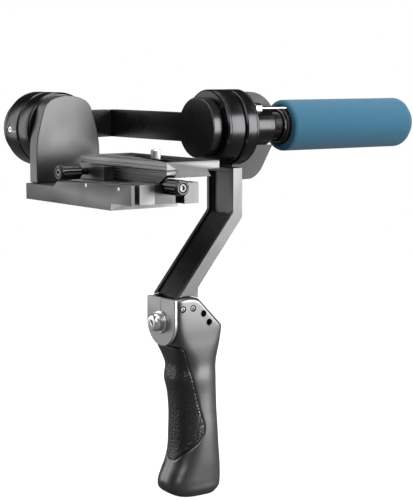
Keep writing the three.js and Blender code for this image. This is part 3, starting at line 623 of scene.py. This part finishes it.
def chamfered_head(flat=13.4, chamfer=1.9):
    """The grip's side outline as a tool, with the head's edges chamfered towards both side faces."""
    full = rounded_outline(HEAD_SIDE)
    narrow = grown(full, -chamfer, (-30, -140))
    bm = bmesh.new()
    levels = ((narrow, -flat - chamfer), (full, -flat), (full, flat), (narrow, flat + chamfer))
    rings = [[bm.verts.new(at(x, y, z)) for x, z in outline] for outline, y in levels]
    for low, high in zip(rings, rings[1:]):
        for i in range(len(low)):
            j = (i + 1) % len(low)
            bm.faces.new((low[i], low[j], high[j], high[i]))
    bm.faces.new(rings[0])
    bm.faces.new(rings[-1])
    bmesh.ops.recalc_face_normals(bm, faces=bm.faces)
    mesh = bpy.data.meshes.new("head_tool")
    bm.to_mesh(mesh)
    bm.free()
    return linked("head_tool", mesh)


def grip_solid():
    """The grip's outer form with the recess for the rubber."""
    body = cut(grip_form("grip_body"), chamfered_head(), operation="INTERSECT")
    pocket = prism("pocket", "y", grown(rubber_outline, GROOVE, (-42, -176)), (-30, 30))
    cut(pocket, grip_form("core", inset=RUBBER_DEEP))
    return cut(body, pocket)


def bore_grip(body):
    """The slot for the arm, the arc of angle holes and the screw wells on the far side."""
    tongue = 9.0
    slot_outline = [(-48, -99), (-6, -99), (-6, -127), (-21, -133), (-28, -141), (-41, -141), (-42, -127),
                    (-48, -126)]
    tools = [prism("slot", "y", slot_outline, (-tongue, tongue))]
    reach, start = 17.5, -13
    for spread in (0, 25, 54, 78):
        x, z = about_pivot(reach, start + spread)
        centre = at(x, 0, z)
        tools += [rod("y", 2.15, span, centre) for span in ((-20, -10.6), (10.6, 20))]
    tools += [rod("y", 2.7, (10.6, 20), at(x, 0, z)) for x, z in ((-22, -150), (-20, -212))]
    return cut(body, *tools)


def grip_halves():
    body = bore_grip(moulded(grip_solid(), 0.7, 2))
    body.name = "grip_shell_near_fine"
    far = copy_of(body, "grip_shell_far_fine")
    seam = 0.12
    for piece, node, side in ((body, "grip_shell_near", -1), (far, "grip_shell_far", 1)):
        kept_side(piece, at(0, side * seam, 0), (0, -side, 0))
        smooth(piece, 50)
        installed(piece, node)


def rubber_insert():
    """The soft insert on the grip's front, with moulded ridges near its lower rear corner."""
    piece = cut(grip_form("grip_rubber_fine", inset=-0.12), prism("cutter", "y", rubber_outline, (-30, 30)),
                operation="INTERSECT")
    cut(piece, grip_form("core", inset=RUBBER_DEEP + 0.9))
    moulded(piece, 0.6, 2)
    centre_x, centre_z, pitch = -38, -190, 3.2
    count = len(piece.data.vertices)
    places, normals = np.empty(count * 3), np.empty(count * 3)
    piece.data.vertices.foreach_get("co", places)
    piece.data.vertices.foreach_get("normal", normals)
    places, normals = places.reshape(-1, 3), normals.reshape(-1, 3)
    x, y, z = ((places - np.array(ORIGIN)) / MM).T
    away = np.hypot(x - centre_x, z - centre_z)
    side = np.clip((np.abs(y) - 9) / 3, 0, 1)
    low = np.clip((-188 - z) / 4, 0, 1)
    inside = np.clip((22 - away) / 1.5, 0, 1) * np.clip((away - 4) / 2, 0, 1)
    groove = np.clip(np.cos(2 * np.pi * away / pitch), 0, 1) ** 3
    places -= normals * (0.45 * MM * groove * side * low * inside)[:, None]
    piece.data.vertices.foreach_set("co", places.ravel())
    piece.data.update()
    installed(piece, "grip_rubber")


def head_front():
    """The shield-shaped plate, its vertical seam, the washer and the bolt."""
    low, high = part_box("head_front_plate")
    front, back, top = (low.x - ORIGIN.x) / MM, (high.x - ORIGIN.x) / MM, (high.z - ORIGIN.z) / MM
    half, bolt_height = 15.2, -119.5
    round_end = [(-half * math.cos(angle), bolt_height - half * math.sin(angle), 0)
                 for angle in np.linspace(0, math.pi, 40)]
    shield = rounded_outline([(-half, top, 1), *round_end, (half, top, 1)])
    plate = prism("head_front_plate_fine", "x", shield, (front, back), 0.5)
    bolt_centre = at(0, 0, bolt_height)
    seam = [(-0.15, -100), (0.15, -100), (0.15, -112), (-0.15, -112)]
    cut(plate, prism("seam", "x", seam, (front - 3, front + 0.4)),
        rod("x", 3.3, (front - 10, back + 5), bolt_centre))
    smooth(plate)
    installed(plate, "head_front_plate", "sanded_grey")
    washer = [(3.3, -1.6), (6.8, -1.6), (7.2, -1.2), (7.2, -0.1), (3.3, -0.1), (3.3, -1.6)]
    installed(lathe("head_washer_fine", "x", [(r, x + front) for r, x in washer], bolt_centre, ease=0.2),
              "head_washer")
    bolt = [(0, 5), (3, 5), (3, -1.7), (5.75, -1.7), (5.75, -4.4), (5.3, -6), (4.3, -7.1), (0, -7.3)]
    bolt = [(r, x + front) for r, x in bolt]
    piece = lathe("head_bolt_fine", "x", bolt, bolt_centre, ease=0.5)
    cut(piece, rod("x", 2.35, (front - 8, front - 4.8), bolt_centre, sides=6))
    smooth(piece)
    installed(piece, "head_bolt")


grip_halves()
rubber_insert()
head_front()


# ---------------------------------------------------------------- roll motor, neck and handle
def ring_lines(front, rear, radius, bores, lines=()):
    """A motor half: a drum with eased rims and fine turned lines."""
    profile = [(bores, front), (radius - 1.1, front), (radius, front + 1.1)]
    for line in lines:
        profile += [(radius, line - 0.25), (radius - 0.3, line), (radius, line + 0.25)]
    profile += [(radius, rear - 0.9), (radius - 0.9, rear), (bores, rear), (bores, front)]
    return profile


def motor(axis, bell, housing, look):
    for node, reverse in ((bell, False), (housing, True)):
        low, high, radius, centre = size_of(node, axis)
        inner = 4.05 if node == bell else 7.05
        profile = ring_lines(low, high, radius, inner, lines=(low + 2.4,) if not reverse else (high - 2.2,))
        piece = lathe(f"{node}_fine", axis, profile, centre, sides=144, ease=0.25)
        if node == "tilt_housing":
            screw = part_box("tilt_rim_screw")
            well = Vector((centre.x, (screw[0].y + screw[1].y) / 2, centre.z))
            cut(piece, rod("x", 2.7, (-40, -radius + 2.3), well))
            smooth(piece)
        installed(piece, node, look)


motor("x", "roll_bell", "roll_housing", "turned_black")
motor("y", "tilt_bell", "tilt_housing", "turned_black_y")


def neck_and_handle():
    axis_point = ORIGIN
    thread_end = (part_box("neck")[1].x - ORIGIN.x) / MM
    neck = [(6.6, 10.9), (11.6, 10.9), (12, 11.4), (12, 31.6), (11.2, 32.6), (9, 32.7)]
    turns, pitch = 8, 0.9
    for k in range(turns):
        start = 33 + k * pitch
        neck += [(9, start), (8.6, start + pitch / 2), (9, start + pitch * 0.95)]
    neck += [(9, thread_end), (6.6, thread_end), (6.6, 10.9)]
    installed(lathe("neck_fine", "x", neck, axis_point, ease=0.15), "neck", "turned_black")
    ring_low, ring_high, _, ring_centre = size_of("silver_ring", "x")
    ring = [(9.4, ring_low), (10.3, ring_low), (10.8, ring_low + 0.4), (10.8, ring_high - 0.4),
            (10.3, ring_high), (9.4, ring_high), (9.4, ring_low)]
    installed(lathe("silver_ring_fine", "x", ring, ring_centre, ease=0.25), "silver_ring", "dark_steel")

    def knurl(angle, radius, along):
        return radius - 0.35 * (0.5 + 0.5 * math.cos(angle * 48)) ** 2 if radius > 11 else radius

    low, high, radius, centre = size_of("lock_collar", "x")
    collar = [(8.5, low), (radius - 0.8, low), (radius, low + 0.8), (radius, high - 0.7),
              (radius - 0.6, high), (8.5, high), (8.5, low)]
    installed(lathe("lock_collar_fine", "x", collar, centre, sides=288, section=knurl), "lock_collar",
              "matte_black")
    low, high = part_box("foam_grip")
    front, rear = (low.x - ORIGIN.x) / MM, (high.x - ORIGIN.x) / MM
    outer, hole = (high.y - low.y) / 2 / MM, 12.0
    foam = [(hole, front + 1.2), (hole + 0.8, front), (outer - 2.2, front), (outer - 0.7, front + 0.7),
            (outer, front + 2.4)]
    stations = 40
    foam += [(outer, front + 2.4 + (rear - front - 6) * k / stations) for k in range(1, stations)]
    foam += [(outer, rear - 3.6), (outer - 0.9, rear - 1), (outer - 3, rear), (hole, rear),
             (hole, front + 1.2)]
    piece = lathe("foam_sleeve", "x", foam, axis_point, sides=160, ease=0.8)
    installed(piece, "foam_grip")
    cap_low, cap_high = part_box("end_cap")
    rear_face = (cap_high.x - ORIGIN.x) / MM
    plug_end, rim = (cap_low.x - ORIGIN.x) / MM, rear + 0.3
    cap = [(0, plug_end), (9.6, plug_end), (9.6, rim), (12.4, rim), (13, rim + 0.6), (13, rear_face - 0.8),
           (12.2, rear_face), (8, rear_face), (7.6, rear_face - 0.5), (7.2, rear_face), (0, rear_face)]
    piece = lathe("end_cap_fine", "x", cap, axis_point, ease=0.2)
    coin_slot = [(-5, -0.6), (5, -0.6), (5, 0.6), (-5, 0.6)]
    cut(piece, prism("coin_slot", "x", coin_slot, (rear_face - 1, rear_face + 1)))
    smooth(piece)
    installed(piece, "end_cap", "matte_black")


neck_and_handle()

# ---------------------------------------------------------------- arms, bracket and cage
for node_name, bevel, look in (
    ("z_arm", 0.35, None), ("cage_side_plate", 0.5, None), ("arm_inlay", 0.2, None),
    ("rear_bracket", 0.6, "matte_black"), ("roll_arm_rear", 0.6, None), ("roll_arm_side", 0.6, None),
    ("cage_base", 0.35, "satin_grey"), ("slider", 0.3, "light_satin"), ("clamp_jaw", 0.2, "light_satin"),
    ("bay_cover", 0.3, None), ("bracket_nut", 0.3, "dark_steel"), ("clamp_rod", 0.2, "dark_steel"),
):
    refined(node_name, bevel, look)


def angle_screws():
    """Socket screws sunk in the head: a face brightened by the painted edge highlight of dark steel, with
    painted shade, matte black rings, in the step round the face and in the socket.
    """
    face_r, socket_r = 1.4, 0.85
    for node_name in ("angle_screw_front", "angle_screw_rear"):
        low, high, radius, centre = size_of(node_name, "y")
        profile = [(0, low + 0.1), (face_r - 0.1, low + 0.1), (face_r, low + 0.2), (face_r, low + 1),
                   (radius, low + 1), (radius, high), (0, high)]
        piece = lathe(f"{node_name}_fine", "y", profile, centre, sides=48, ease=0.08)
        cut(piece, rod("y", socket_r, (low - 1, low + 1), centre, sides=6))
        smooth(piece)
        installed(piece, node_name, "dark_steel")
        # Painted shade: matte black rings fill the step round the face and most of the socket, standing in
        # for the shadow in these hollows.
        rim = [(face_r + 0.05, low + 0.4), (radius - 0.03, low + 0.4), (radius - 0.03, low + 0.95),
               (face_r + 0.05, low + 0.95), (face_r + 0.05, low + 0.4)]
        socket_shade_disc = [(0, low + 0.35), (socket_r - 0.12, low + 0.35), (socket_r - 0.12, low + 0.95),
                           (0, low + 0.95)]
        for part, outline in (("rim", rim), ("socket", socket_shade_disc)):
            shade = lathe(f"{node_name}_{part}", "y", outline, centre, sides=32, ease=0.02)
            give(shade, "matte_black")
            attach(shade, frame["nodes"][node_name]["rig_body"])


angle_screws()


def camera_plate():
    """The plate with two machined grooves running along its length, near its front and rear edges."""
    piece = copy_of(frame["nodes"]["camera_plate"], "camera_plate_fine")
    bm = bmesh.new()
    bm.from_mesh(piece.data)
    bmesh.ops.remove_doubles(bm, verts=bm.verts, dist=2e-6)
    bmesh.ops.dissolve_limit(bm, angle_limit=math.radians(0.6), verts=bm.verts, edges=bm.edges)
    bm.to_mesh(piece.data)
    bm.free()
    for x0, x1, z0, z1 in ((-86.5, -85.1, -19.3, -18.7), (-48.4, -47, -19.3, -18.7)):
        cut(piece, prism("groove", "y", [(x0, z0), (x1, z0), (x1, z1), (x0, z1)], (-70, 50)))
    bevelled(piece, 0.3, 2)
    installed(piece, "camera_plate", "plate_black")


camera_plate()


def thumb_screw(node, insert, axis):
    """A fluted knob with a shank and a bright socket insert in its end."""
    low, high, radius, centre = size_of(node, axis)
    grip_end = low + 15

    def flutes(angle, r, along):
        if r < 4 or not low + 1.8 < along < grip_end - 0.6:
            return r
        return r - 0.75 * max(0, math.cos(angle * 8)) ** 2

    profile = [(0, low + 1.6), (2.9, low + 1.6), (2.9, low), (radius - 0.8, low), (radius, low + 0.8),
               (radius, low + 1.8)]
    steps = 12
    for k in range(1, steps):
        profile.append((radius, low + 1.8 + (grip_end - low - 2.8) * k / steps))
    profile += [(radius, grip_end - 0.9), (radius - 0.9, grip_end), (2, grip_end), (2, high - 0.4),
                (1.6, high), (0, high)]
    installed(lathe(f"{node}_fine", axis, profile, centre, sides=128, section=flutes, ease=0.2), node)
    low, high, radius, centre = size_of(insert, axis)
    ring = [(0, low + 0.1), (1.0, low + 0.1), (1.5, low), (radius - 0.4, low), (radius, low + 0.4),
            (radius, high), (0, high)]
    piece = lathe(f"{insert}_fine", axis, ring, centre, ease=0.15)
    cut(piece, rod(axis, 1.25, (low - 1, low + 0.9), centre, sides=6))
    smooth(piece)
    installed(piece, insert, "dark_steel")


thumb_screw("front_knob", "front_knob_insert", "x")
thumb_screw("side_knob", "side_knob_insert", "y")


PIN_R, PIN_HEIGHT, PIN_YS = 1.1, -31.5, (-5.8, -41.4)


def index_pins():
    """Two small bright pins in the base's front face."""
    front = (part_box("cage_base")[0].x - ORIGIN.x) / MM
    proud, sunk = front - 0.06, front + 0.1
    for number, y in enumerate(PIN_YS):
        outline = [(0, proud), (PIN_R - 0.05, proud), (PIN_R, sunk), (0, sunk)]
        dot = lathe(f"index_pin_{number + 1}", "x", outline, at(0, y, PIN_HEIGHT), sides=32, ease=0.02)
        give(dot, "bright_pin")
        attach(dot, "cage")


index_pins()

# ---------------------------------------------------------------- floor
FLOOR_RADIUS, FLOOR_SIDES = 1.3, 96
floor_height = cad_box[0][2] - 0.002
bm = bmesh.new()
bmesh.ops.create_circle(bm, cap_ends=True, radius=FLOOR_RADIUS, segments=FLOOR_SIDES,
                        matrix=Matrix.Translation((0, 0, floor_height)))
floor_mesh = bpy.data.meshes.new("floor")
bm.to_mesh(floor_mesh)
bm.free()
floor = linked("floor", floor_mesh)
floor_paint = finish("floor_paint", (0.12, 0.12, 0.12), 0, 0.9, variation=0.01, bump=0.02)
floor_nodes, floor_links = floor_paint.node_tree.nodes, floor_paint.node_tree.links
floor_shader = floor_nodes["Principled BSDF"]
floor_shader.inputs["Emission Color"].default_value = (1, 1, 1, 1)
seen = floor_nodes.new("ShaderNodeLightPath")
floor_glow = floor_nodes.new("ShaderNodeMath")
floor_glow.operation = "MULTIPLY"
floor_glow.inputs[1].default_value = 1.0
floor_links.new(seen.outputs["Is Camera Ray"], floor_glow.inputs[0])
floor_links.new(floor_glow.outputs["Value"], floor_shader.inputs["Emission Strength"])
floor.data.materials.append(floor_paint)
